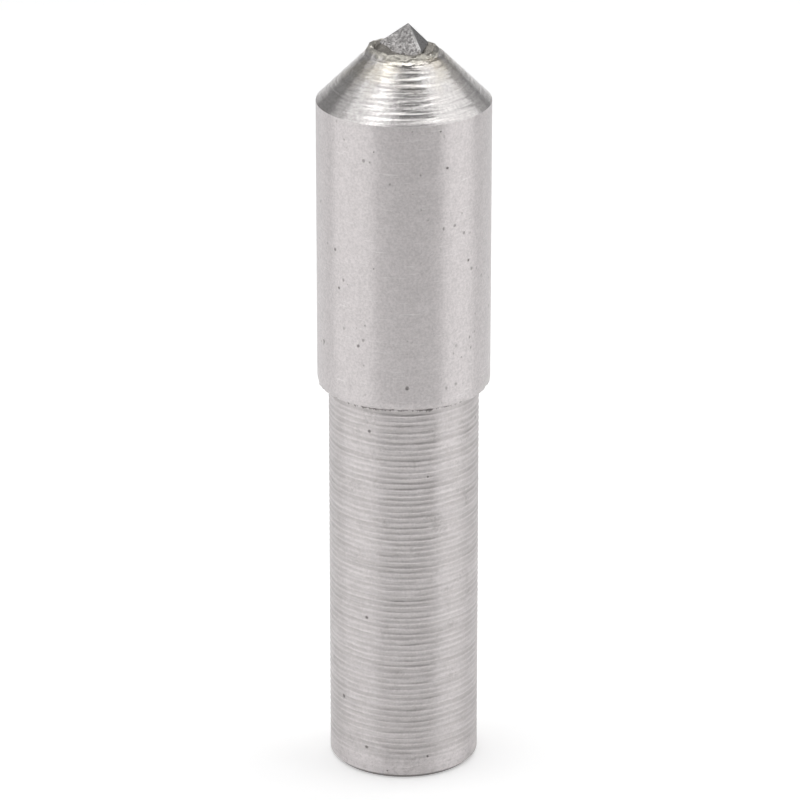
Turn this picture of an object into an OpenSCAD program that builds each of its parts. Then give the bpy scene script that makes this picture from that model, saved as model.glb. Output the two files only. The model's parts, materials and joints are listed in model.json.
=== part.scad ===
// Single-point diamond wheel dresser.
// One turned steel holder carries an octahedral diamond, brazed into a drilled pocket in its conical nose.
// Millimetres, +Z up. The origin is the middle of the shank's end, and the stone points up.

/* [Shank] */
// Diameter of the turned shank
shank_d = 8.7; // [6:0.1:9.2]
// Length of the shank, from its end to the shoulder
shank_len = 23.5; // [12:0.5:60]
// Edge break round the shank's end
end_chamfer = 0.25; // [0.1:0.05:1.5]
// Radius that the tool's nose leaves in the corner under the shoulder
root_r = 0.2; // [0.05:0.05:0.45]

/* [Head] */
// Diameter of the head, which is the bar's own size
head_d = 10; // [9.6:0.1:16]
// Length of the head's straight part
head_len = 17; // [6:0.5:40]
// Edge break round the shoulder
shoulder_break = 0.1; // [0.05:0.05:0.4]

/* [Nose] */
// Included angle of the conical nose
cone_angle = 90; // [60:5:140]
// Width of the flat lip round the pocket
nose_lip = 0.25; // [0.1:0.05:1]

/* [Stone] */
// Size of the stone across its girdle
stone_size = 3; // [2:0.1:4.5]
// How far the stone's tip stands above the nose
stone_stand = 1.46; // [0.8:0.02:2]
// Distance of the stone's tip from the tool's axis
tip_offset = 0.24; // [0:0.02:0.4]
// Width of the small facets that break the stone's edges
edge_facet = 0.05; // [0.02:0.01:0.15]

/* [Braze] */
// Thinnest braze between the stone's widest corner and the pocket's wall
braze_gap = 0.1; // [0.05:0.05:0.5]
// Thickness of the braze under the stone
braze_bed = 0.2; // [0.1:0.05:1]
// How far the braze sinks below the nose in front of the stone's large face
braze_dip = 0.34; // [0.1:0.02:0.6]
// Radius of the hollow in the braze
dish_r = 3; // [2:0.1:6]
// Distance of the hollow's deepest point from the tool's axis
dish_offset = 0.8; // [0:0.05:1.2]
// Direction of the hollow's deepest point, in degrees from the front towards +X
dish_angle = 320; // [0:5:355]
// Included angle of the drill's point at the bottom of the pocket
drill_point_angle = 118; // [90:1:140]

/* [Hidden] */
$fn = 96;

shank_r = shank_d / 2;
head_r = head_d / 2;

// The stone's corners as [turn, reach, drop]: degrees from the front (-Y) towards +X,
// then the reach from the tip's own axis and the drop below the tip, in halves of the stone's size.
STONE_CORNERS = [
    [30, 0.95, 0.92],   // front
    [110, 0.78, 0.85],  // right
    [195, 0.86, 1.02],  // back
    [262, 1.06, 0.80],  // left
    [335, 0.72, 1.58],  // low front, at the bottom of the large left face
    [0, 0, 1.95],       // bottom
];

stone_half = stone_size / 2;
stone_depth = max([for (corner = STONE_CORNERS) corner[2]]) * stone_half + edge_facet;

// A place seen from above, given by its turn from the front and its distance from the middle.
function turned_xy(turn, distance) = [distance * sin(turn), -distance * cos(turn)];
function corner_xy(corner) = [tip_offset, 0] + turned_xy(corner[0], corner[1] * stone_half);

// The pocket is wide enough for the stone and its braze, and the nose for the pocket and its lip.
stone_reach = max([for (corner = STONE_CORNERS) norm(corner_xy(corner))]) + edge_facet;
pocket_r = stone_reach + braze_gap;
nose_r = pocket_r + nose_lip;

rim_z = shank_len + head_len;
nose_z = rim_z + (head_r - nose_r) / tan(cone_angle / 2);
tip_z = nose_z + stone_stand;
pocket_floor_z = tip_z - stone_depth - braze_bed;
pocket_point_z = pocket_floor_z - pocket_r / tan(drill_point_angle / 2);
dish_centre = concat(turned_xy(dish_angle, dish_offset), nose_z - braze_dip + dish_r);

// Middles of the stone's corners. The small facets reach past each of them by their own width.
stone_points = concat(
    [[tip_offset, 0, tip_z - edge_facet]],
    [for (corner = STONE_CORNERS) concat(corner_xy(corner), tip_z - corner[2] * stone_half)]
);

// Half outline of the solid bar after turning, with the corner under the shoulder left round.
module turned_outline() {
    polygon([
        [0, 0],
        [shank_r - end_chamfer, 0],
        [shank_r, end_chamfer],
        [shank_r, shank_len],
        [head_r - shoulder_break, shank_len],
        [head_r, shank_len + shoulder_break],
        [head_r, rim_z],
        [nose_r, nose_z],
        [0, nose_z],
    ]);
    difference() {
        translate([shank_r - root_r, shank_len - root_r]) square([2 * root_r, root_r]);
        translate([shank_r + root_r, shank_len - root_r]) circle(root_r);
    }
}

// Half outline of the drilled pocket, up to the nose.
module pocket_outline() {
    polygon([
        [0, pocket_point_z],
        [pocket_r, pocket_floor_z],
        [pocket_r, nose_z],
        [0, nose_z],
    ]);
}

// Octahedral crystal with broken edges.
module stone() {
    hull() for (point = stone_points) translate(point) crystal_corner();
}

module crystal_corner() {
    for (side = [0, 1]) mirror([0, 0, side]) cylinder(r1 = edge_facet, r2 = 0, h = edge_facet, $fn = 4);
}

// Steel holder: shank, shoulder, head and nose turned in one piece, with the pocket drilled in the nose.
module holder() {
    color("silver") rotate_extrude() difference() {
        turned_outline();
        pocket_outline();
    }
}

// Braze that fills the pocket round the stone, level with the lip on one side and hollow on the other.
module braze() {
    color("gray") difference() {
        rotate_extrude() pocket_outline();
        translate(dish_centre) sphere(dish_r);
        stone();
    }
}

module diamond() {
    color("dimgray") stone();
}

holder();
braze();
diamond();
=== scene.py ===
"""Diamond wheel dresser: finishes, worked surfaces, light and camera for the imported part."""

import json
import math

import bmesh
import bpy
from bpy.props import FloatProperty, FloatVectorProperty, IntProperty, PointerProperty
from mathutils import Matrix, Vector


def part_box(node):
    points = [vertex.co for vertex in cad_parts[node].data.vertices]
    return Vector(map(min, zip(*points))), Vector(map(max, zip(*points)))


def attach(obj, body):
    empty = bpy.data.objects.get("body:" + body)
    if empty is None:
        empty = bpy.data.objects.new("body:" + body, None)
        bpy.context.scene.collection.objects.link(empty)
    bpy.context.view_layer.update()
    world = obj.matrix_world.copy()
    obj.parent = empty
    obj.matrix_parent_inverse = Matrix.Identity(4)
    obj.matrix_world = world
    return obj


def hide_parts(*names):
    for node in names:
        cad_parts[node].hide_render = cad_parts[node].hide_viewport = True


bl_info = {
    "name": "Diamond wheel dresser",
    "version": (1, 0, 0),
    "blender": (4, 5, 0),
    "location": "3D View > Sidebar > Dresser",
    "description": "Turns the holder, sets the stone in its braze and lights the tool",
    "category": "Object",
}

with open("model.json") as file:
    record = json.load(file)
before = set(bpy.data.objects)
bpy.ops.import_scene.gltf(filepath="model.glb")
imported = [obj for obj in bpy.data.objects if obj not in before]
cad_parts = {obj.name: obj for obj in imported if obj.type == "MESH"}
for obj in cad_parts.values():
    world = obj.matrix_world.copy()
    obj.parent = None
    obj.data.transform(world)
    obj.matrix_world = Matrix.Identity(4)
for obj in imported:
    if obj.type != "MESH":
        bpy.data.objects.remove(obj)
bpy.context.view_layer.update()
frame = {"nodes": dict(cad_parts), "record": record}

MM = 0.001


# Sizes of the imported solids, in metres. The stone's corners and NOSE_MM are in millimetres, as the finishes are.

def node_points(name):
    """A solid's own corner points."""
    return [vertex.co for vertex in frame["nodes"][name].data.vertices]


def radius(point):
    return math.hypot(point.x, point.y)


MOUNTS = {mount["name"]: mount for mount in frame["record"]["mounts"]}
HOLDER_LOW, HOLDER_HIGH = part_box("holder")
HEAD_R = min(-HOLDER_LOW.x, HOLDER_HIGH.x, -HOLDER_LOW.y, HOLDER_HIGH.y)
SHANK_R = MOUNTS["shank"]["dims"]["r_mm"] * MM
SHOULDER_Z = MOUNTS["shoulder"]["pos_m"][2]
NOSE_Z = HOLDER_HIGH.z
NOSE_MM = NOSE_Z / MM
TOP_RADII = [radius(p) for p in node_points("holder") if p.z > NOSE_Z - 0.001 * MM]
NOSE_R = max(TOP_RADII)
POCKET_R = min(TOP_RADII)
RIM_Z = max(p.z for p in node_points("holder") if radius(p) > HEAD_R * 0.999)
EDGE_Z = min(p.z for p in node_points("holder") if radius(p) > HEAD_R * 0.999)
END_R = max(radius(p) for p in node_points("holder") if p.z < 0.001 * MM)
POCKET_POINT_Z = max(p.z for p in node_points("holder") if radius(p) < 0.01 * MM)
POCKET_FLOOR_Z = min(p.z for p in node_points("holder") if abs(radius(p) - POCKET_R) < 0.01 * MM)
ROOT_R = SHOULDER_Z - max(p.z for p in node_points("holder") if abs(radius(p) - SHANK_R) < 0.001 * MM)
STONE_TIP = max(node_points("diamond"), key=lambda p: p.z) / MM
STONE_FRONT = min(node_points("diamond"), key=lambda p: p.y) / MM
STONE_LOW = min((p for p in node_points("diamond") if p.y < -0.8 * MM), key=lambda p: p.z) / MM


# Node trees written as expressions.

class Wire:
    """A node's output. Arithmetic on it adds Math nodes, and node() adds any other node."""

    def __init__(self, tree, socket=None):
        self.tree = tree
        self.socket = socket

    def node(self, kind, settings=None, sockets=None):
        made = self.tree.nodes.new(kind)
        for key, value in (settings or {}).items():
            setattr(made, key, value)
        for key, value in (sockets or {}).items():
            if isinstance(value, Wire):
                self.tree.links.new(value.socket, made.inputs[key])
            else:
                made.inputs[key].default_value = value
        return Outputs(self.tree, made)

    def math(self, operation, *terms):
        return self.node("ShaderNodeMath", {"operation": operation}, dict(enumerate(terms)))[0]

    def __add__(self, other):
        return self.math("ADD", self, other)

    def __sub__(self, other):
        return self.math("SUBTRACT", self, other)

    def __rsub__(self, other):
        return self.math("SUBTRACT", other, self)

    def __mul__(self, other):
        return self.math("MULTIPLY", self, other)

    def __truediv__(self, other):
        return self.math("DIVIDE", self, other)

    def __rtruediv__(self, other):
        return self.math("DIVIDE", other, self)

    def __gt__(self, other):
        return self.math("GREATER_THAN", self, other)

    def __lt__(self, other):
        return self.math("LESS_THAN", self, other)

    __radd__ = __add__
    __rmul__ = __mul__

    def ramp(self, low, high, bottom=0.0, top=1.0):
        """A smooth step from bottom at low to top at high."""
        return self.node("ShaderNodeMapRange", {"interpolation_type": "SMOOTHSTEP"},
                         {0: self, 1: low, 2: high, 3: bottom, 4: top})[0]

    def scaled(self, factors):
        """A vector times one factor an axis."""
        return self.node("ShaderNodeVectorMath", {"operation": "MULTIPLY"}, {0: self, 1: factors})[0]

    def noise(self, scale, detail=2.0, roughness=0.5):
        """Noise from 0 to 1 on a vector."""
        return self.node("ShaderNodeTexNoise", None,
                         {"Vector": self, "Scale": scale, "Detail": detail, "Roughness": roughness})[0]

    def blend(self, low, high):
        """A colour between two others, by a value from 0 to 1."""
        return self.node("ShaderNodeMix", {"data_type": "RGBA"}, {0: self, 6: low, 7: high})[2]


class Outputs:
    """The outputs of one node, by name or number."""

    def __init__(self, tree, node):
        self.tree = tree
        self.made = node

    def __getitem__(self, key):
        return Wire(self.tree, self.made.outputs[key])


def emptied(owner):
    """The starting wire of a material or world, with its own nodes cleared."""
    owner.use_nodes = True
    owner.node_tree.nodes.clear()
    return Wire(owner.node_tree)


def new_tree(name, inputs):
    """A geometry tree with those inputs after its geometry, and its wires by name."""
    tree = bpy.data.node_groups.new(name, "GeometryNodeTree")
    tree.interface.new_socket("Geometry", in_out="INPUT", socket_type="NodeSocketGeometry")
    for label, kind in inputs:
        tree.interface.new_socket(label, in_out="INPUT", socket_type=kind)
    tree.interface.new_socket("Geometry", in_out="OUTPUT", socket_type="NodeSocketGeometry")
    return tree, Wire(tree).node("NodeGroupInput")


def finished_mesh(name, base, modifiers, tree, values):
    """The mesh that a tree makes from a base mesh, after any modifiers that come first."""
    worker = bpy.data.objects.new(name + "_work", base)
    bpy.context.scene.collection.objects.link(worker)
    for kind, settings in modifiers:
        modifier = worker.modifiers.new(kind.lower(), kind)
        for key, value in settings.items():
            setattr(modifier, key, value)
    modifier = worker.modifiers.new("tree", "NODES")
    modifier.node_group = tree
    for item in tree.interface.items_tree:
        if item.in_out == "INPUT" and item.name in values:
            modifier[item.identifier] = values[item.name]
    evaluated = worker.evaluated_get(bpy.context.evaluated_depsgraph_get())
    mesh = bpy.data.meshes.new_from_object(evaluated)
    mesh.name = name
    bpy.data.objects.remove(worker)
    return mesh


def place_piece(name, mesh, node, sharp_angle):
    """The finished piece at the origin, standing for its solid."""
    work = bmesh.new()
    work.from_mesh(mesh)
    bmesh.ops.recalc_face_normals(work, faces=work.faces)
    work.to_mesh(mesh)
    work.free()
    mesh.shade_smooth()
    mesh.set_sharp_from_angle(angle=sharp_angle)
    piece = bpy.data.objects.new(name, mesh)
    bpy.context.scene.collection.objects.link(piece)
    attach(piece, "root")
    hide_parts(node)


def solid_copy(name, node):
    """A solid's mesh in millimetres, with its loose triangles joined."""
    work = bmesh.new()
    work.from_mesh(frame["nodes"][node].data)
    bmesh.ops.scale(work, vec=(1 / MM,) * 3, verts=work.verts)
    bmesh.ops.remove_doubles(work, verts=work.verts, dist=0.001)
    mesh = bpy.data.meshes.new(name)
    work.to_mesh(mesh)
    work.free()
    return mesh


# Finishes. Patterns are scaled in millimetres.

SCRATCH = (0.86, 0.84, 0.83, 1)
PIT = (0.12, 0.11, 0.105, 1)
GROOVE = (0.3, 0.285, 0.27, 1)
STAIN = (0.24, 0.225, 0.215, 1)
# The dark for the pits, and for the painted shade under the head's edge and on the bottom chamfer.
DARK_PITS_AND_SHADE = (0.1, 0.092, 0.088, 1)

# The tool's marks run round the bar, so the steel's blur runs along it: a quarter turn.
ALONG_BAR = 0.25


def new_finish(name):
    """An empty material, its starting wire and its place in millimetres."""
    material = bpy.data.materials.new(name)
    start = emptied(material)
    place = start.node("ShaderNodeTexCoord")["Object"].scaled((1 / MM,) * 3)
    return material, start, place


def finish_surface(start, sockets):
    shader = start.node("ShaderNodeBsdfPrincipled", None, sockets)
    start.node("ShaderNodeOutputMaterial", None, {"Surface": shader["BSDF"]})


def bump(start, height, distance):
    return start.node("ShaderNodeBump", None, {"Height": height, "Strength": 1.0, "Distance": distance})["Normal"]


def pits(place, spacing, size, share):
    """Scattered round pits, 1 inside a pit and 0 outside."""
    cells = place.node("ShaderNodeTexVoronoi", None, {"Vector": place, "Scale": 1 / spacing, "Randomness": 1.0})
    chance = place.node("ShaderNodeSeparateColor", None, {"Color": cells["Color"]})
    reach = chance[1] * size / spacing
    return (chance[0] < share) * (1 - cells["Distance"].ramp(reach * 0.4, reach))


def bar_finish(settings):
    """Drawn bar: satin, with faint streaks round it and a few dark pits."""
    material, start, place = new_finish("drawn_bar")
    streaks = place.scaled((0.35, 0.35, 9.0)).noise(1.0, 4.0, 0.6)
    grain = place.noise(7.0, 4.0, 0.7)
    mottle = place.noise(1.8, 4.0, 0.6)
    scratches = place.scaled((0.7, 0.7, 15.0)).noise(1.0, 1.0).ramp(0.68, 0.74)
    worn = place.noise(0.35, 2.0).ramp(0.42, 0.6)
    holes = pits(place, 1.0, 0.17, 0.7)
    specks = pits(place.scaled((1.0, 1.0, 0.8)), 0.4, 0.12, 0.6) * worn
    marks = start.math("MAXIMUM", holes, specks * 0.6)
    shade = (grain * 0.8 + mottle * 0.2).ramp(0.32, 0.68)
    color = shade.blend((*settings.steel_shade, 1), (*settings.steel, 1))
    color = (scratches * 0.35).blend(color, SCRATCH)
    color = (marks * 0.7).blend(color, PIT)
    height = streaks * 0.3 + grain * 0.6 + mottle * 0.6 - marks * 3.0
    finish_surface(start, {
        "Base Color": color, "Metallic": 1.0, "Roughness": 0.29 + streaks * 0.06 + grain * 0.06,
        "Anisotropic": 0.95, "Anisotropic Rotation": ALONG_BAR, "Normal": bump(start, height, 0.013 * MM),
    })
    return material


def shank_finish(settings):
    """Turned shank: the mesh has the rings, and the finish adds fine feed lines, stains, darker ring valleys, dark
    pits, and painted shade under the head's edge and on the bottom chamfer.
    """
    material, start, place = new_finish("turned_shank")
    axes = start.node("ShaderNodeSeparateXYZ", None, {0: place})
    reach = start.math("SQRT", axes[0] * axes[0] + axes[1] * axes[1])
    lines = place.scaled((0.4, 0.4, 8.0)).noise(1.0, 3.0, 0.6)
    grain = place.noise(7.0, 4.0, 0.7)
    mottle = place.noise(1.6, 3.0, 0.6)
    holes = pits(place, 1.2, 0.16, 0.4)
    # The ring valleys are coloured darker, the more so the deeper they are.
    depth = (SHANK_R / MM - reach).ramp(0.006, 0.03)
    ragged = place.scaled((1.0, 1.0, 0.3)).noise(2.6, 4.0, 0.75) - 0.5
    # Painted shade: a ragged dark line round the shank just under the head's edge, where the head's overhang shades it.
    shoulder_shade = (axes[2] + ragged * 0.8).ramp(SHOULDER_Z / MM - 0.33, SHOULDER_Z / MM - 0.22)
    shade = (lines * 0.4 + grain * 0.45 + mottle * 0.15).ramp(0.35, 0.65)
    color = shade.blend((*settings.shank_shade, 1), (*settings.shank, 1))
    color = (depth * 0.3).blend(color, GROOVE)
    stains = axes[2].ramp(0.6, 2.4, 1.0, 0.0) * place.noise(4.5, 3.0, 0.6).ramp(0.5, 0.72)
    # Painted shade: the bottom chamfer is darkened, as if it mirrored the shadowed floor round its edge.
    chamfer_shade = (axes[2] + ragged * 0.15).ramp(0.12, 0.3, 1.0, 0.0)
    smudges = place.noise(0.7, 2.0).ramp(0.56, 0.7) * place.noise(6.0, 3.0, 0.6).ramp(0.42, 0.62)
    color = start.math("MAXIMUM", stains * 0.3, smudges * 0.28).blend(color, STAIN)
    # Dark pits, and painted shade under the head's edge and on the bottom chamfer.
    pits_and_shade = start.math("MAXIMUM", holes * 0.7, start.math("MAXIMUM", shoulder_shade * 0.8, chamfer_shade * 0.6))
    color = pits_and_shade.blend(color, DARK_PITS_AND_SHADE)
    height = lines * 2.0 + grain * 1.0 - holes * 3.0
    finish_surface(start, {
        "Base Color": color, "Metallic": 1.0, "Roughness": 0.31 + grain * 0.06,
        "Anisotropic": 0.95, "Anisotropic Rotation": ALONG_BAR, "Normal": bump(start, height, 0.012 * MM),
        "Specular Tint": (0.9, 0.9, 0.9, 1),
    })
    return material


def nose_finish(settings):
    """Turned cone: bright, with a straw tint from the brazing heat, a torn lip and braze spilled over its front."""
    material, start, place = new_finish("turned_nose")
    axes = start.node("ShaderNodeSeparateXYZ", None, {0: place})
    lines = place.scaled((0.3, 0.3, 10.0)).noise(1.0, 4.0, 0.65)
    grain = place.noise(6.0, 3.0, 0.6)
    patches = place.noise(0.9, 3.0)
    heat = axes[2].ramp(RIM_Z / MM + 0.6, NOSE_MM) * patches.ramp(0.35, 0.7)
    torn = axes[2].ramp(NOSE_MM - 0.25, NOSE_MM - 0.05)
    front = (axes[0] * 0.35 - axes[1]).ramp(1.2, 1.9)
    edge = axes[2] + front * 0.25 + (place.noise(2.2, 3.0, 0.6) - 0.5) * 0.5
    spill = edge.ramp(NOSE_MM - 0.1, NOSE_MM)
    color = (lines * 0.5 + grain * 0.5).ramp(0.3, 0.7).blend((*settings.steel_shade, 1), (*settings.nose, 1))
    color = (heat * 0.55).blend(color, (*settings.heat, 1))
    # Away from the front, the lip round the pocket is blended toward a darker colour.
    color = (torn * (1 - front) * 0.5).blend(color, (*settings.torn, 1))
    spilled = grain.ramp(0.35, 0.65).blend((*settings.spill_shade, 1), (*settings.spill, 1))
    color = (spill * 0.8).blend(color, spilled)
    roughness = 0.19 + patches * 0.07 + grain * 0.04 + torn * 0.22 + spill * 0.08
    finish_surface(start, {
        "Base Color": color, "Metallic": 1.0, "Roughness": roughness,
        "Anisotropic": 0.78, "Anisotropic Rotation": ALONG_BAR,
        "Normal": bump(start, lines * 0.7 + grain * 0.4 + grain * spill * 2.0, 0.006 * MM),
    })
    return material


def stone_finish(settings):
    """Natural diamond: dark smooth faces, light specks on the coarse face with painted light towards its bottom and
    painted shade towards the tip, and a pale chipped front edge that is partly a painted highlight.
    """
    material, start, place = new_finish("grey_diamond")
    coarse, relief, ridge = (start.node("ShaderNodeAttribute", {"attribute_name": label})["Fac"]
                             for label in ("coarse", "relief", "ridge"))
    level = start.node("ShaderNodeSeparateXYZ", None, {0: place})[2]
    specks = place.noise(7.5, 3.0, 0.6)
    # Painted light: more light specks towards the bottom of the coarse face.
    lower = level.ramp(STONE_FRONT.z - 0.4, STONE_TIP.z, 0.05, 0.0)
    light = (relief * 0.45 + specks * 0.55 + lower).ramp(0.46, 0.62)
    ground = light.blend((*settings.stone_ground, 1), (*settings.stone, 1))
    # Painted shade: the coarse face is darkened towards the tip.
    ground = level.ramp(STONE_FRONT.z, STONE_TIP.z, 0.0, 0.3).blend(ground, (*settings.stone_shade, 1))
    color = coarse.blend((*settings.stone_shade, 1), ground)
    # Painted highlight: the pale chipped front edge is partly a painted highlight, strongest towards its lower end;
    # worn here only sets where that highlight is strongest.
    worn = level.ramp(STONE_FRONT.z, STONE_TIP.z - 0.3, 1.0, 0.2)
    color = (ridge * specks.ramp(0.2, 0.4) * worn).blend(color, (*settings.chips_and_highlight, 1))
    finish_surface(start, {
        "Base Color": color, "Metallic": 0.0, "Roughness": 0.22 + specks * 0.14, "IOR": 2.2,
    })
    return material


def braze_finish(settings):
    """Set filler metal: dull grey-brown, mottled lighter and darker at random, and painted lighter towards the right.
    """
    material, start, place = new_finish("set_braze")
    lumps = place.noise(2.6, 4.0, 0.6)
    grain = place.noise(9.0, 3.0, 0.6)
    # Painted light: the braze is coloured lighter towards the right.
    side = start.node("ShaderNodeSeparateXYZ", None, {0: place})[0].ramp(-1.2, 1.4, -0.05, 0.07)
    color = (lumps * 0.6 + grain * 0.4 + side).ramp(0.38, 0.66).blend((*settings.braze_shade, 1), (*settings.braze, 1))
    finish_surface(start, {
        "Base Color": color, "Metallic": 0.6, "Roughness": 0.58 + grain * 0.2,
        "Normal": bump(start, grain, 0.014 * MM),
    })
    return material


# Shapes.

# Spacing of the rows that the holder is turned from.
ROWS_PER_RING = 7.4
END_STEP = 1.2 * MM
CORNER_STEP = 0.1 * MM
EDGE_STEP = 0.03 * MM
LOWER_HEAD_STEP = 0.06 * MM
HEAD_STEP = 0.5 * MM
CONE_STEP = 0.032 * MM
LIP_STEP = 0.06 * MM

# How far down from the nose's top the torn lip starts and is full, and the spilled braze.
LIP_START, LIP_FULL = 0.4 * MM, 0.05 * MM
SPILL_START, SPILL_FULL = 0.45 * MM, 0.3 * MM

# The shank's rings fade out between these heights.
SMOOTH_FOOT, FULL_RINGS = 0.9 * MM, 1.7 * MM


def span(low, high, step):
    """Evenly spaced values from low towards high, without high itself."""
    count = max(1, round(abs(high - low) / step))
    return [low + (high - low) * i / count for i in range(count)]


def holder_outline(step):
    """Half outline of the turned bar, from the middle of its end up and round to the pocket's point."""
    rows = [(r, 0) for r in span(0, END_R, END_STEP)]
    rows += [(r, r - END_R) for r in span(END_R, SHANK_R, CORNER_STEP)]
    rows += [(SHANK_R, z) for z in span(SHANK_R - END_R, SHOULDER_Z - ROOT_R, step)]
    rows += [(SHANK_R + ROOT_R * (1 - math.cos(a)), SHOULDER_Z - ROOT_R * (1 - math.sin(a)))
             for a in span(0, math.pi / 2, math.pi / 12)]
    edge_r = HEAD_R - (EDGE_Z - SHOULDER_Z)
    rows += [(r, SHOULDER_Z) for r in span(SHANK_R + ROOT_R, edge_r, CORNER_STEP)]
    rows += [(edge_r + z - SHOULDER_Z, z) for z in span(SHOULDER_Z, EDGE_Z, EDGE_STEP)]
    rows += [(HEAD_R, z) for z in span(EDGE_Z, EDGE_Z + HEAD_STEP, LOWER_HEAD_STEP)]
    rows += [(HEAD_R, z) for z in span(EDGE_Z + HEAD_STEP, RIM_Z, HEAD_STEP)]
    rows += [(HEAD_R - (HEAD_R - NOSE_R) * t, RIM_Z + (NOSE_Z - RIM_Z) * t)
             for t in span(0, 1, CONE_STEP / (NOSE_Z - RIM_Z))]
    rows += [(r, NOSE_Z) for r in span(NOSE_R, POCKET_R, LIP_STEP)]
    rows += [(POCKET_R, z) for z in span(NOSE_Z, POCKET_FLOOR_Z, CORNER_STEP)]
    rows += [(POCKET_R * t, POCKET_POINT_Z + (POCKET_FLOOR_Z - POCKET_POINT_Z) * t) for t in span(1, 0, 0.25)]
    return rows + [(0, POCKET_POINT_Z)]


# Rises and hollows round the stone: x, y, half widths along and across, turn in degrees, height, in millimetres.
CRATER_MOUNDS = (
    (-1.85, 0.05, 0.14, 0.75, 0, 0.14),
    (-1.58, 0.1, 0.13, 0.42, 0, -0.36),
    (-1.15, 0.1, 0.4, 0.6, 0, 0.2),
    (-0.8, -0.75, 0.6, 0.25, -47, 0.1),
    (0.95, -1.4, 0.35, 0.14, 15, 0.16),
    (0.6, -1.62, 0.3, 0.08, 10, -0.12),
    (1.35, -1.1, 0.16, 0.1, 40, -0.22),
    (1.62, -0.6, 0.12, 0.3, 15, -0.1),
    (1.4, 0.3, 0.4, 0.6, 0, 0.2),
    (-0.3, -1.75, 0.6, 0.1, 8, 0.1),
)


def crater_relief(start, flat):
    """Height of the rough ground round the stone, from its place seen from above, both in millimetres."""
    spot = start.node("ShaderNodeSeparateXYZ", None, {0: flat})

    def mound(x, y, wide, deep, turn, height):
        """A rounded rise, or a hollow where its height is below 0."""
        c, s = math.cos(math.radians(turn)), math.sin(math.radians(turn))
        along = ((spot[0] - x) * c + (spot[1] - y) * s) / wide
        across = ((spot[1] - y) * c - (spot[0] - x) * s) / deep
        return height * start.math("EXPONENT", 0 - (along * along + across * across))

    lumps = flat.noise(2.9, 2.0, 0.5) - 0.5
    relief = lumps * 0.26 - spot[0] * 0.055
    for x, y, wide, deep, turn, height in CRATER_MOUNDS:
        relief = relief + mound(x, y, wide, deep, turn, height)
    return relief


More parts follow.
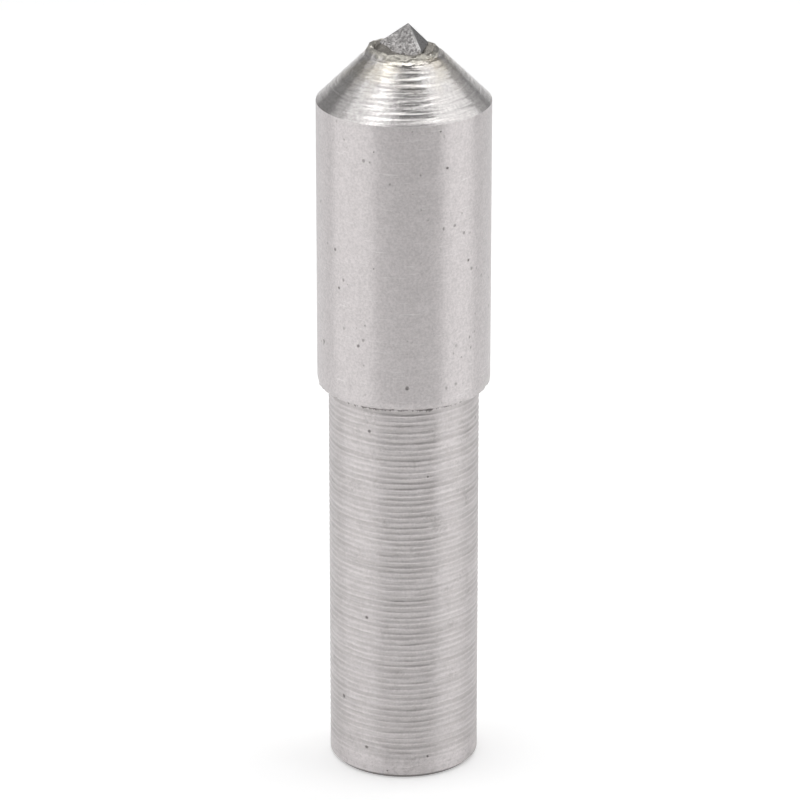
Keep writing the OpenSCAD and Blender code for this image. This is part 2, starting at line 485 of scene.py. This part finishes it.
def lathe_tree():
    """Turns an outline into a solid, with the tool's rings, the shoulder's burr and the worn lip cut into it."""
    tree, given = new_tree("Turned holder", [
        ("Segments", "NodeSocketInt"), ("Seed", "NodeSocketFloat"),
        ("Shank Ring Pitch", "NodeSocketFloat"), ("Shank Ring Depth", "NodeSocketFloat"),
        ("Nose Ring Pitch", "NodeSocketFloat"), ("Nose Ring Depth", "NodeSocketFloat"),
        ("Ragged Edge", "NodeSocketFloat"), ("Lip Wear", "NodeSocketFloat"),
        ("Shank Finish", "NodeSocketMaterial"), ("Head Finish", "NodeSocketMaterial"),
        ("Nose Finish", "NodeSocketMaterial"),
    ])
    start = Wire(tree)
    outline = given["Geometry"]
    across = given["Segments"] + 1
    rows = start.node("GeometryNodeAttributeDomainSize", {"component": "MESH"}, {"Geometry": outline})["Point Count"]
    grid = start.node("GeometryNodeMeshGrid", None, {
        "Size X": 1.0, "Size Y": 1.0, "Vertices X": rows, "Vertices Y": across})
    index = start.node("GeometryNodeInputIndex")["Index"]
    row = start.math("FLOOR", (index + 0.5) / across)
    turn = (index - row * across) / given["Segments"] * math.tau
    sampled = start.node("GeometryNodeSampleIndex", {"data_type": "FLOAT_VECTOR", "domain": "POINT"}, {
        "Geometry": outline, "Value": start.node("GeometryNodeInputPosition")["Position"], "Index": row})["Value"]
    corner = start.node("ShaderNodeSeparateXYZ", None, {0: sampled})
    reach, height = corner[0], corner[2]
    side, back = start.math("SINE", turn), 0 - start.math("COSINE", turn)

    def around(fine, along):
        """A place for noise: round the bar at one scale and along it at another."""
        return start.node("ShaderNodeCombineXYZ", None, {
            0: side * fine + given["Seed"], 1: back * fine, 2: height / MM * along})[0]

    def ring_cut(distance, pitch, depth, drift):
        """Depth of the tool's rings: each ring has its own depth, and their spacing drifts."""
        phase = (distance / pitch + around(0.0, 0.9).noise(1.0) * drift + around(5.0, 2.5).noise(1.0) * 0.3
                 + around(16.0, 3.0).noise(1.0) * 0.2)
        ring = start.math("FLOOR", phase)
        within = phase - ring
        own = start.node("ShaderNodeTexWhiteNoise", {"noise_dimensions": "1D"}, {"W": ring + given["Seed"]})["Value"]
        uneven = around(4.0, 2.0).noise(1.0, 4.0, 0.65).ramp(0.3, 0.7, 0.5, 1.0)
        return depth * (0.55 + own * 0.45) * uneven * 4 * within * (1 - within)

    on_shank = ((reach > SHANK_R * 0.999) * (height < SHOULDER_Z - ROOT_R * 0.5) * (reach < SHANK_R * 1.001)
                * height.ramp(SMOOTH_FOOT, FULL_RINGS, 0.12, 1.0))
    on_nose = height.ramp(RIM_Z, RIM_Z + 0.3 * MM) * (reach > NOSE_R * 1.005)
    along_nose = MM / given["Nose Ring Pitch"]
    arcs = around(0.9, along_nose).noise(1.0, 3.0, 0.6)
    dashes = around(3.2, along_nose * 0.8).noise(1.0, 2.0, 0.5)
    cut = (on_shank * ring_cut(height, given["Shank Ring Pitch"], given["Shank Ring Depth"], 0.8)
           + on_nose * given["Nose Ring Depth"] * (arcs * 0.55 + dashes * 0.45).ramp(0.36, 0.64))
    at_edge = (reach > HEAD_R - 0.2 * MM) * height.ramp(EDGE_Z, EDGE_Z + 0.3 * MM, 1.0, 0.0)
    ragged = around(11.0, 0.0).noise(1.0, 4.0, 0.7)
    burr = at_edge * (height < EDGE_Z + 0.4 * MM) * given["Ragged Edge"] * ragged.ramp(0.4, 0.7)
    at_lip = height.ramp(NOSE_Z - LIP_START, NOSE_Z - LIP_FULL) * (reach > POCKET_R * 0.99)
    flat = start.node("ShaderNodeCombineXYZ", None, {0: reach * side / MM, 1: reach * back / MM, 2: given["Seed"]})[0]
    lip = at_lip * given["Lip Wear"] * MM * crater_relief(start, flat)
    front = (side * 0.35 - back).ramp(0.3, 0.9)
    spilled = front * height.ramp(NOSE_Z - SPILL_START, NOSE_Z - SPILL_FULL) * (reach > NOSE_R * 0.99)
    waves = ((around(1.5, 5.5).noise(1.0, 2.0, 0.5) - 0.5) * 0.45
             + (around(4.5, 8.0).noise(1.0, 2.0, 0.5) - 0.5) * 0.25)
    flow = given["Lip Wear"] * MM * spilled * waves
    worked = reach - cut - burr + flow
    spot = start.node("ShaderNodeCombineXYZ", None, {0: worked * side, 1: worked * back, 2: height + lip})[0]
    turned = start.node("GeometryNodeSetPosition", None, {"Geometry": grid["Mesh"], "Position": spot})["Geometry"]
    welded = start.node("GeometryNodeMergeByDistance", None, {"Geometry": turned, "Distance": 0.001 * MM})["Geometry"]
    level = start.node("ShaderNodeSeparateXYZ", None, {0: start.node("GeometryNodeInputPosition")["Position"]})[2]
    solid = start.node("GeometryNodeRealizeInstances", None, {"Geometry": welded})["Geometry"]
    for label, chosen in (("Head Finish", level > -1.0), ("Shank Finish", level < SHOULDER_Z + 0.002 * MM),
                          ("Nose Finish", level > RIM_Z + 0.002 * MM)):
        solid = start.node("GeometryNodeSetMaterial", None,
                           {"Geometry": solid, "Selection": chosen, "Material": given[label]})["Geometry"]
    start.node("NodeGroupOutput", None, {0: solid})
    return tree


def skin_tree(name, roughen):
    """Moves a skin along its normals by the height that roughen works out in millimetres."""
    tree, given = new_tree(name, [
        ("Height", "NodeSocketFloat"), ("Seed", "NodeSocketFloat"), ("Finish", "NodeSocketMaterial")])
    start = Wire(tree)
    place = start.node("GeometryNodeInputPosition")["Position"]
    normal = start.node("GeometryNodeInputNormal")["Normal"]
    shift = start.node("ShaderNodeCombineXYZ", None, {axis: given["Seed"] for axis in range(3)})[0]
    shifted = start.node("ShaderNodeVectorMath", {"operation": "ADD"}, {0: place, 1: shift})[0]
    height, marks = roughen(start, place, shifted, normal)
    marked = given["Geometry"]
    for label, value in marks.items():
        marked = start.node("GeometryNodeStoreNamedAttribute", {"data_type": "FLOAT", "domain": "POINT"},
                            {"Geometry": marked, "Name": label, "Value": value})["Geometry"]
    push = start.node("ShaderNodeVectorMath", {"operation": "SCALE"}, {0: normal, "Scale": height * given["Height"]})[0]
    moved = start.node("GeometryNodeSetPosition", None, {"Geometry": marked, "Offset": push})["Geometry"]
    scaled = start.node("GeometryNodeTransform", None, {"Geometry": moved, "Scale": (MM, MM, MM)})["Geometry"]
    solid = start.node("GeometryNodeRealizeInstances", None, {"Geometry": scaled})["Geometry"]
    solid = start.node("GeometryNodeSetMaterial", None, {"Geometry": solid, "Material": given["Finish"]})["Geometry"]
    start.node("NodeGroupOutput", None, {0: solid})
    return tree


# Direction that the stone's large, coarse face looks: to the left of the front, and up.
COARSE_FACE = Vector((-0.44, -0.78, 0.45)).normalized()


def edge_distance(start, place, first, last):
    """How far a place is from the straight edge between two corners."""
    def vector(operation, sockets):
        return start.node("ShaderNodeVectorMath", {"operation": operation}, sockets)

    edge = last - first
    offset = vector("SUBTRACT", {0: place, 1: first})["Vector"]
    along = vector("DOT_PRODUCT", {0: offset, 1: edge / edge.length_squared})["Value"]
    along = start.math("MINIMUM", start.math("MAXIMUM", along, 0.0), 1.0)
    nearest = vector("SCALE", {0: edge, "Scale": along})["Vector"]
    return vector("DISTANCE", {0: offset, 1: nearest})["Value"]


def roughen_stone(start, place, shifted, normal):
    """Coarse lumps and pits on the large face, a chipped front edge and a smooth skin elsewhere."""
    facing = start.node("ShaderNodeVectorMath", {"operation": "DOT_PRODUCT"}, {0: normal, 1: COARSE_FACE})["Value"]
    coarse = facing.ramp(0.9, 0.98)
    lumps = shifted.noise(5.5, 3.0, 0.6)
    fine = shifted.noise(14.0, 2.0) - 0.5
    near = start.math("MINIMUM", edge_distance(start, place, STONE_TIP, STONE_FRONT),
                      edge_distance(start, place, STONE_FRONT, STONE_LOW))
    chips_and_highlight = shifted.noise(5.0, 2.0)
    ridge = near.ramp(0.08, 0.15, 1.0, 0.0)
    corner = start.node("ShaderNodeVectorMath", {"operation": "DISTANCE"}, {0: place, 1: STONE_FRONT})["Value"]
    height = (coarse * (lumps - 0.56 + fine * 0.3) + (1 - coarse) * fine * 0.02
              - ridge * chips_and_highlight.ramp(0.45, 0.8) * 0.35 - corner.ramp(0.1, 0.3, 0.9, 0.0) * chips_and_highlight.ramp(0.3, 0.6, 0.4, 1.0))
    return height, {"coarse": coarse, "relief": lumps, "ridge": ridge}


def roughen_braze(start, place, shifted, normal):
    """Wavy beads on the braze's open top, and nothing where it meets the pocket."""
    level = start.node("ShaderNodeSeparateXYZ", None, {0: place})[2]
    upward = start.node("ShaderNodeSeparateXYZ", None, {0: normal})[2]
    top = level.ramp(NOSE_MM - 0.6, NOSE_MM - 0.4) * upward.ramp(0.2, 0.7)
    fine = shifted.noise(5.0, 3.0, 0.6) - 0.5
    flat = place.scaled((1.0, 1.0, 0.0))
    risen = (NOSE_MM - level) * 0.6
    return top * (risen + crater_relief(start, flat) + fine * 0.14), {}


# Settings.

class HolderSettings(bpy.types.PropertyGroup):
    segments: IntProperty(name="Segments", description="Corners round the turned holder", default=144, min=48, max=200)
    seed: FloatProperty(name="Seed", description="Start of the noise in the tool's marks", default=4.0)
    shank_pitch: FloatProperty(name="Shank ring pitch", description="Feed of the tool along the shank",
                               default=0.35 * MM, unit="LENGTH", precision=5)
    shank_depth: FloatProperty(name="Shank ring depth", description="Deepest ring on the shank",
                               default=0.05 * MM, unit="LENGTH", precision=6)
    nose_pitch: FloatProperty(name="Nose ring pitch", description="Feed of the tool up the cone",
                              default=0.17 * MM, unit="LENGTH", precision=5)
    nose_depth: FloatProperty(name="Nose ring depth", description="Deepest ring on the cone",
                              default=0.031 * MM, unit="LENGTH", precision=6)
    burr: FloatProperty(name="Ragged edge", description="How deep the shoulder's ragged edge is broken",
                        default=0.14 * MM, unit="LENGTH", precision=6)
    lip_wear: FloatProperty(name="Lip wear", default=1.0, min=0,
                            description="Share of the crater's relief that the lip round the pocket takes")
    steel: FloatVectorProperty(name="Steel", description="Colour of the bright steel", subtype="COLOR",
                               default=(0.69, 0.653, 0.653), min=0, max=1)
    steel_shade: FloatVectorProperty(name="Dull steel",
                                     description="Colour of the steel's duller patches", subtype="COLOR",
                                     default=(0.53, 0.502, 0.502), min=0, max=1)
    shank: FloatVectorProperty(name="Shank", description="Colour of the turned shank", subtype="COLOR",
                               default=(0.705, 0.667, 0.667), min=0, max=1)
    shank_shade: FloatVectorProperty(name="Dull shank",
                                     description="Colour of the shank's duller patches", subtype="COLOR",
                                     default=(0.545, 0.516, 0.516), min=0, max=1)
    nose: FloatVectorProperty(name="Nose", description="Colour of the freshly cut cone", subtype="COLOR",
                              default=(0.72, 0.705, 0.69), min=0, max=1)
    heat: FloatVectorProperty(name="Heat tint", description="Straw tint left by brazing", subtype="COLOR",
                              default=(0.62, 0.56, 0.44), min=0, max=1)
    torn: FloatVectorProperty(name="Torn lip", description="Colour of the torn lip round the pocket", subtype="COLOR",
                              default=(0.28, 0.265, 0.245), min=0, max=1)
    spill: FloatVectorProperty(name="Spilled braze",
                               description="Colour of braze that ran over the lip", subtype="COLOR",
                               default=(0.72, 0.695, 0.63), min=0, max=1)
    spill_shade: FloatVectorProperty(name="Dull spilled braze",
                                     description="Colour of its duller patches", subtype="COLOR",
                                     default=(0.5, 0.475, 0.43), min=0, max=1)


class StoneSettings(bpy.types.PropertyGroup):
    seed: FloatProperty(name="Seed", description="Start of the noise in the stone's skin", default=3.0)
    voxel: FloatProperty(name="Fineness", description="Size of the skin's faces, in millimetres",
                         default=0.021, min=0.015, max=0.1)
    height: FloatProperty(name="Lump height", description="Height of the coarse face's lumps, in millimetres",
                          default=0.16)
    stone: FloatVectorProperty(name="Stone", description="Colour of the stone's light specks", subtype="COLOR",
                               default=(0.9, 0.865, 0.86), min=0, max=1)
    stone_ground: FloatVectorProperty(name="Coarse ground",
                                      description="Colour between the coarse face's specks", subtype="COLOR",
                                      default=(0.3, 0.282, 0.278), min=0, max=1)
    stone_shade: FloatVectorProperty(name="Smooth faces",
                                     description="Colour of the stone's smooth faces", subtype="COLOR",
                                     default=(0.09, 0.085, 0.086), min=0, max=1)
    # The chipped edge's colour is partly a painted highlight.
    chips_and_highlight: FloatVectorProperty(name="Chips", description="Colour of the chipped front edge", subtype="COLOR",
                               default=(0.95, 0.93, 0.92), min=0, max=1)


class BrazeSettings(bpy.types.PropertyGroup):
    seed: FloatProperty(name="Seed", description="Start of the noise in the braze's beads", default=7.0)
    voxel: FloatProperty(name="Fineness", description="Size of the skin's faces, in millimetres",
                         default=0.035, min=0.02, max=0.1)
    height: FloatProperty(name="Beads", description="Share of the crater's relief that the braze takes", default=1.0)
    # The braze's two colours are mixed by noise, not by its high spots and hollows.
    braze: FloatVectorProperty(name="Braze", description="Colour of the braze's high spots", subtype="COLOR",
                               default=(0.39, 0.37, 0.34), min=0, max=1)
    braze_shade: FloatVectorProperty(name="Braze shade", description="Colour of the braze's hollows", subtype="COLOR",
                                     default=(0.2, 0.188, 0.17), min=0, max=1)


class StageSettings(bpy.types.PropertyGroup):
    lens: FloatProperty(name="Lens", description="Focal length on a 36 mm sensor", default=225.0, unit="CAMERA")
    elevation: FloatProperty(name="Elevation", description="Camera's height above the horizon",
                             default=math.radians(21.77), subtype="ANGLE")
    distance: FloatProperty(name="Distance", description="Camera's distance from the point it aims at",
                            default=289.24 * MM, unit="LENGTH")
    aim: FloatVectorProperty(name="Aim", description="Point that the camera aims at",
                             default=(-0.22 * MM, 0.0, 22.19 * MM), subtype="TRANSLATION")
    floor: FloatVectorProperty(name="Floor", description="Colour of the floor", subtype="COLOR",
                               default=(0.9, 0.9, 0.9), min=0, max=1)
    floor_lift: FloatProperty(name="Floor lift", description="Light added to the floor where it is seen or mirrored",
                              default=0.36, min=0)
    room_front: FloatProperty(name="Room in front", description="Light from the room behind the camera",
                              default=0.17, min=0)
    room_back: FloatProperty(name="Room behind", description="Light from the room behind the tool",
                             default=0.29, min=0)
    softbox: FloatProperty(name="Softbox", description="Brightness of the two high softboxes", default=0.95, min=0)
    top: FloatProperty(name="Top light", description="Brightness of the softbox above and behind", default=2.25, min=0)
    fill: FloatProperty(name="Fill", description="Brightness of the low panels round the tool", default=1.1, min=0)
    bounce: FloatProperty(name="Bounce", description="Brightness of the cards behind the softboxes",
                          default=0.22, min=0)


# Operators.

class DRESSER_OT_holder(bpy.types.Operator):
    """Turn the holder from its outline and give each stretch its finish"""
    bl_idname = "dresser.holder"
    bl_label = "Turn holder"

    def execute(self, context):
        settings = context.scene.dresser_holder
        rows = holder_outline(settings.shank_pitch / ROWS_PER_RING)
        outline = bpy.data.meshes.new("holder_outline")
        outline.from_pydata([(r, 0, z) for r, z in rows], [(i, i + 1) for i in range(len(rows) - 1)], [])
        mesh = finished_mesh("turned_holder", outline, [], lathe_tree(), {
            "Segments": settings.segments, "Seed": settings.seed,
            "Shank Ring Pitch": settings.shank_pitch, "Shank Ring Depth": settings.shank_depth,
            "Nose Ring Pitch": settings.nose_pitch, "Nose Ring Depth": settings.nose_depth,
            "Ragged Edge": settings.burr, "Lip Wear": settings.lip_wear,
            "Shank Finish": shank_finish(settings), "Head Finish": bar_finish(settings),
            "Nose Finish": nose_finish(settings),
        })
        place_piece("turned_holder", mesh, "holder", math.radians(40))
        return {"FINISHED"}


class DRESSER_OT_stone(bpy.types.Operator):
    """Give the stone its coarse and smooth faces"""
    bl_idname = "dresser.stone"
    bl_label = "Set stone"

    def execute(self, context):
        settings = context.scene.dresser_stone
        remesh = ("REMESH", {"mode": "VOXEL", "voxel_size": settings.voxel})
        mesh = finished_mesh("rough_diamond", solid_copy("stone_base", "diamond"), [remesh],
                             skin_tree("Stone skin", roughen_stone),
                             {"Height": settings.height, "Seed": settings.seed, "Finish": stone_finish(settings)})
        place_piece("rough_diamond", mesh, "diamond", math.radians(40))
        return {"FINISHED"}


class DRESSER_OT_braze(bpy.types.Operator):
    """Flow the braze round the stone"""
    bl_idname = "dresser.braze"
    bl_label = "Flow braze"

    def execute(self, context):
        settings = context.scene.dresser_braze
        remesh = ("REMESH", {"mode": "VOXEL", "voxel_size": settings.voxel})
        mesh = finished_mesh("set_braze", solid_copy("braze_base", "braze"), [remesh],
                             skin_tree("Braze skin", roughen_braze),
                             {"Height": settings.height, "Seed": settings.seed, "Finish": braze_finish(settings)})
        place_piece("set_braze", mesh, "braze", math.radians(60))
        return {"FINISHED"}


FLOOR_HALF = 0.9
LAMP_AIM = Vector((0, 0, 25 * MM))

# Soft lamps: name, azimuth right of the front, elevation, distance, width and height, brightness setting and its share.
LAMPS = (
    ("softbox_left", -61, 54, 0.25, (0.285, 0.15), "softbox", 0.89),
    ("softbox_right", 97, 48, 0.25, (0.26, 0.125), "softbox", 1.07),
    ("softbox_top", 180, 80, 0.3, (0.3, 0.205), "top", 1.0),
    ("bounce_left", -110, 40, 0.28, (0.12, 0.09), "bounce", 2.0),
    ("bounce_right", 131, 25, 0.28, (0.12, 0.1), "bounce", 1.0),
    ("fill_left", -70, 8, 0.28, (0.35, 0.13), "fill", 1.0),
    ("fill_left_back", -126, 2, 0.28, (0.16, 0.07), "fill", 0.4),
    ("fill_right", 75, 8, 0.28, (0.245, 0.13), "fill", 1.0),
    ("fill_back", 180, 6, 0.4, (0.48, 0.13), "fill", 0.26),
)


def add_panel(name, azimuth, elevation, distance, size, brightness):
    """A soft lamp that faces the tool, with the brightness that its face shows."""
    turn, rise = math.radians(azimuth), math.radians(elevation)
    toward = Vector((math.sin(turn) * math.cos(rise), -math.cos(turn) * math.cos(rise), math.sin(rise)))
    place = LAMP_AIM + toward * distance
    lamp = bpy.data.lights.new(name, "AREA")
    lamp.shape = "RECTANGLE"
    lamp.size, lamp.size_y = size
    lamp.energy = brightness * math.pi * size[0] * size[1]
    stand = bpy.data.objects.new(name, lamp)
    stand.location = place
    stand.rotation_euler = (LAMP_AIM - place).to_track_quat("-Z", "Y").to_euler()
    stand.visible_camera = False
    bpy.context.scene.collection.objects.link(stand)


class DRESSER_OT_stage(bpy.types.Operator):
    """Add the floor, the soft lamps and the camera"""
    bl_idname = "dresser.stage"
    bl_label = "Set stage"

    def execute(self, context):
        settings = context.scene.dresser_stage
        scene = context.scene
        scene.view_settings.view_transform = "Standard"

        mesh = bpy.data.meshes.new("floor")
        corners = ((-1, -1), (1, -1), (1, 1), (-1, 1))
        mesh.from_pydata([(x * FLOOR_HALF, y * FLOOR_HALF, 0) for x, y in corners], [], [(0, 1, 2, 3)])
        paper = bpy.data.materials.new("pale_paper")
        start = emptied(paper)
        rays = start.node("ShaderNodeLightPath")
        mirrored = start.math("MAXIMUM", rays["Is Glossy Ray"], rays["Is Transmission Ray"])
        seen = start.math("MAXIMUM", rays["Is Camera Ray"], mirrored)
        matt = start.node("ShaderNodeBsdfDiffuse", None, {"Color": (*settings.floor, 1)})["BSDF"]
        lift = start.node("ShaderNodeEmission", None, {
            "Color": (1, 1, 1, 1), "Strength": seen * settings.floor_lift})["Emission"]
        both = start.node("ShaderNodeAddShader", None, {0: matt, 1: lift})["Shader"]
        start.node("ShaderNodeOutputMaterial", None, {"Surface": both})
        mesh.materials.append(paper)
        floor = bpy.data.objects.new("floor", mesh)
        scene.collection.objects.link(floor)

        world = bpy.data.worlds.new("room")
        start = emptied(world)
        rays = start.node("ShaderNodeLightPath")
        toward = start.node("ShaderNodeSeparateXYZ", None, {0: start.node("ShaderNodeTexCoord")["Generated"]})[1]
        level = toward.ramp(-0.5, 0.5, settings.room_front, settings.room_back)
        level = level + rays["Is Camera Ray"] * (1 - level)
        sky = start.node("ShaderNodeBackground", None, {"Color": (1, 1, 1, 1), "Strength": level})["Background"]
        start.node("ShaderNodeOutputWorld", None, {"Surface": sky})
        scene.world = world

        for name, azimuth, elevation, distance, size, setting, share in LAMPS:
            add_panel(name, azimuth, elevation, distance, size, getattr(settings, setting) * share)

        camera = bpy.data.objects.new("camera", bpy.data.cameras.new("camera"))
        camera.data.lens = settings.lens
        camera.data.clip_start, camera.data.clip_end = 0.01, 5.0
        back = Vector((0, -math.cos(settings.elevation), math.sin(settings.elevation)))
        camera.location = Vector(settings.aim) + back * settings.distance
        camera.rotation_euler = (-back).to_track_quat("-Z", "Y").to_euler()
        scene.collection.objects.link(camera)
        scene.camera = camera
        return {"FINISHED"}


class DRESSER_PT_panel(bpy.types.Panel):
    """The dresser's pieces and their settings"""
    bl_idname = "DRESSER_PT_panel"
    bl_label = "Wheel dresser"
    bl_space_type = "VIEW_3D"
    bl_region_type = "UI"
    bl_category = "Dresser"

    def draw(self, context):
        for operator, group in ((DRESSER_OT_holder, "dresser_holder"), (DRESSER_OT_stone, "dresser_stone"),
                                (DRESSER_OT_braze, "dresser_braze"), (DRESSER_OT_stage, "dresser_stage")):
            box = self.layout.box()
            box.operator(operator.bl_idname)
            settings = getattr(context.scene, group)
            for name in settings.bl_rna.properties.keys():
                if name not in ("rna_type", "name"):
                    box.prop(settings, name)


GROUPS = {"dresser_holder": HolderSettings, "dresser_stone": StoneSettings,
          "dresser_braze": BrazeSettings, "dresser_stage": StageSettings}
CLASSES = (*GROUPS.values(), DRESSER_OT_holder, DRESSER_OT_stone, DRESSER_OT_braze, DRESSER_OT_stage, DRESSER_PT_panel)


def register():
    for item in CLASSES:
        bpy.utils.register_class(item)
    for name, group in GROUPS.items():
        setattr(bpy.types.Scene, name, PointerProperty(type=group))


def unregister():
    for name in GROUPS:
        delattr(bpy.types.Scene, name)
    for item in reversed(CLASSES):
        bpy.utils.unregister_class(item)


def main():
    register()
    bpy.ops.dresser.holder()
    bpy.ops.dresser.stone()
    bpy.ops.dresser.braze()
    bpy.ops.dresser.stage()


if __name__ == "__main__":
    main()
